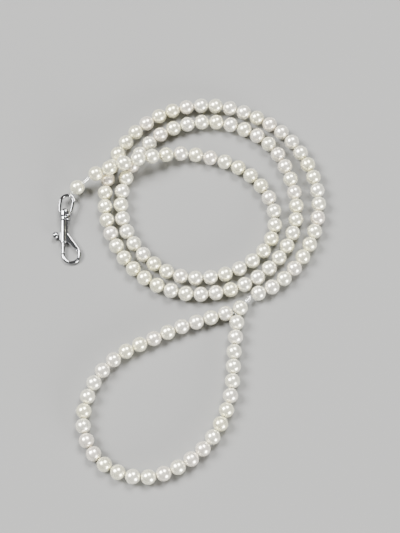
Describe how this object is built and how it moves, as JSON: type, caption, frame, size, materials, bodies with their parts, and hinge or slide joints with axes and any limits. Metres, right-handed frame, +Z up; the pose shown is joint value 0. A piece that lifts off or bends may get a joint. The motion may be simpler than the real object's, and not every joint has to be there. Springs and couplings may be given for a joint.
{
  "type": "pearl bead strap",
  "caption": "Coiled strap of round pearls on steel cable, with a swivel bolt snap hook at one end and a beaded hand loop at the other.",
  "frame": {"origin": "centre of the bounding box on the flat surface that the strap lies on", "axes": "+Z up from the surface; +Y from the hand loop towards the far side of the coil; +X to the right, with the hook on the -X side"},
  "size_m": [0.1856, 0.2698, 0.0201],
  "materials": {
    "pearl": "cream white pearl lacquer, soft nacre sheen",
    "cable": "stranded steel under a thin clear coat",
    "crimp": "silver plated, dented by pressing",
    "plated_hook": "polished nickel plate on a casting",
    "spring_steel": "plain spring wire"
  },
  "bodies": {
    "strap": {"strap_wire": "cable", "inner_turn_pearls": "pearl", "middle_turn_pearls": "pearl", "outer_turn_pearls": "pearl"},
    "junction": {"junction_wire": "cable", "handle_crimp": "crimp"},
    "junction_pearl": {"junction_pearl": "pearl"},
    "handle": {"handle_wire": "cable", "handle_pearl_01": "pearl", "handle_pearl_02": "pearl", "handle_pearl_03": "pearl", "handle_pearl_04": "pearl", "handle_pearl_05": "pearl", "handle_pearl_06": "pearl", "handle_pearl_07": "pearl", "handle_pearl_08": "pearl", "handle_pearl_09": "pearl", "handle_pearl_10": "pearl", "handle_pearl_11": "pearl", "handle_pearl_12": "pearl", "handle_pearl_13": "pearl", "handle_pearl_14": "pearl", "handle_pearl_15": "pearl", "handle_pearl_16": "pearl", "handle_pearl_17": "pearl", "handle_pearl_18": "pearl", "handle_pearl_19": "pearl", "handle_pearl_20": "pearl", "handle_pearl_21": "pearl", "handle_pearl_22": "pearl", "handle_pearl_23": "pearl", "handle_pearl_24": "pearl", "handle_pearl_25": "pearl", "handle_pearl_26": "pearl", "handle_pearl_27": "pearl", "handle_pearl_28": "pearl", "handle_pearl_29": "pearl", "handle_pearl_30": "pearl", "handle_pearl_31": "pearl", "handle_pearl_32": "pearl", "handle_pearl_33": "pearl"},
    "hook_end": {"hook_end_wire": "cable", "hook_crimp": "crimp"},
    "end_pearl": {"end_pearl": "pearl"},
    "swivel_eye": {"swivel_eye": "plated_hook"},
    "hook_body": {"hook_body": "plated_hook", "swivel_pin": "plated_hook", "bolt_spring": "spring_steel"},
    "bolt": {"bolt_rod": "plated_hook", "thumb_knob": "plated_hook"}
  },
  "joints": [
    {"name": "handle_swing", "type": "hinge", "parent": "strap", "child": "junction", "pos_m": [0.03736, -0.01172, 0.005], "axis": [0, 0, 1], "range_deg": [-8, 30]},
    {"name": "junction_pearl_spin", "type": "hinge", "parent": "junction", "child": "junction_pearl", "pos_m": [0.03013, -0.01947, 0.005], "axis": [-0.7071, -0.7071, 0], "continuous": true},
    {"name": "handle_lift", "type": "hinge", "parent": "junction", "child": "handle", "pos_m": [0.02645, -0.02315, 0.005], "axis": [-0.7071, 0.7071, 0], "range_deg": [-25, 25]},
    {"name": "hook_end_swing", "type": "hinge", "parent": "strap", "child": "hook_end", "pos_m": [-0.06563, 0.07948, 0.00961], "axis": [0, 0, 1], "range_deg": [-30, 8]},
    {"name": "end_pearl_spin", "type": "hinge", "parent": "hook_end", "child": "end_pearl", "pos_m": [-0.07423, 0.07382, 0.00704], "axis": [-0.8167, -0.5378, -0.2092], "continuous": true},
    {"name": "eye_swing", "type": "hinge", "parent": "hook_end", "child": "swivel_eye", "pos_m": [-0.07921, 0.06841, 0.0055], "axis": [0, 0, 1], "range_deg": [-25, 12]},
    {"name": "hook_swivel", "type": "hinge", "parent": "swivel_eye", "child": "hook_body", "pos_m": [-0.0835, 0.054, 0.0042], "axis": [0.0521, 0.9947, 0.0889], "continuous": true},
    {"name": "bolt_slide", "type": "slide", "parent": "hook_body", "child": "bolt", "axis": [0.0521, 0.9947, 0.0889], "range_m": [0, 0.0055], "stiffness_N_per_m": 400, "springref_m": -0.005, "deforming": ["bolt_spring"]}
  ]
}
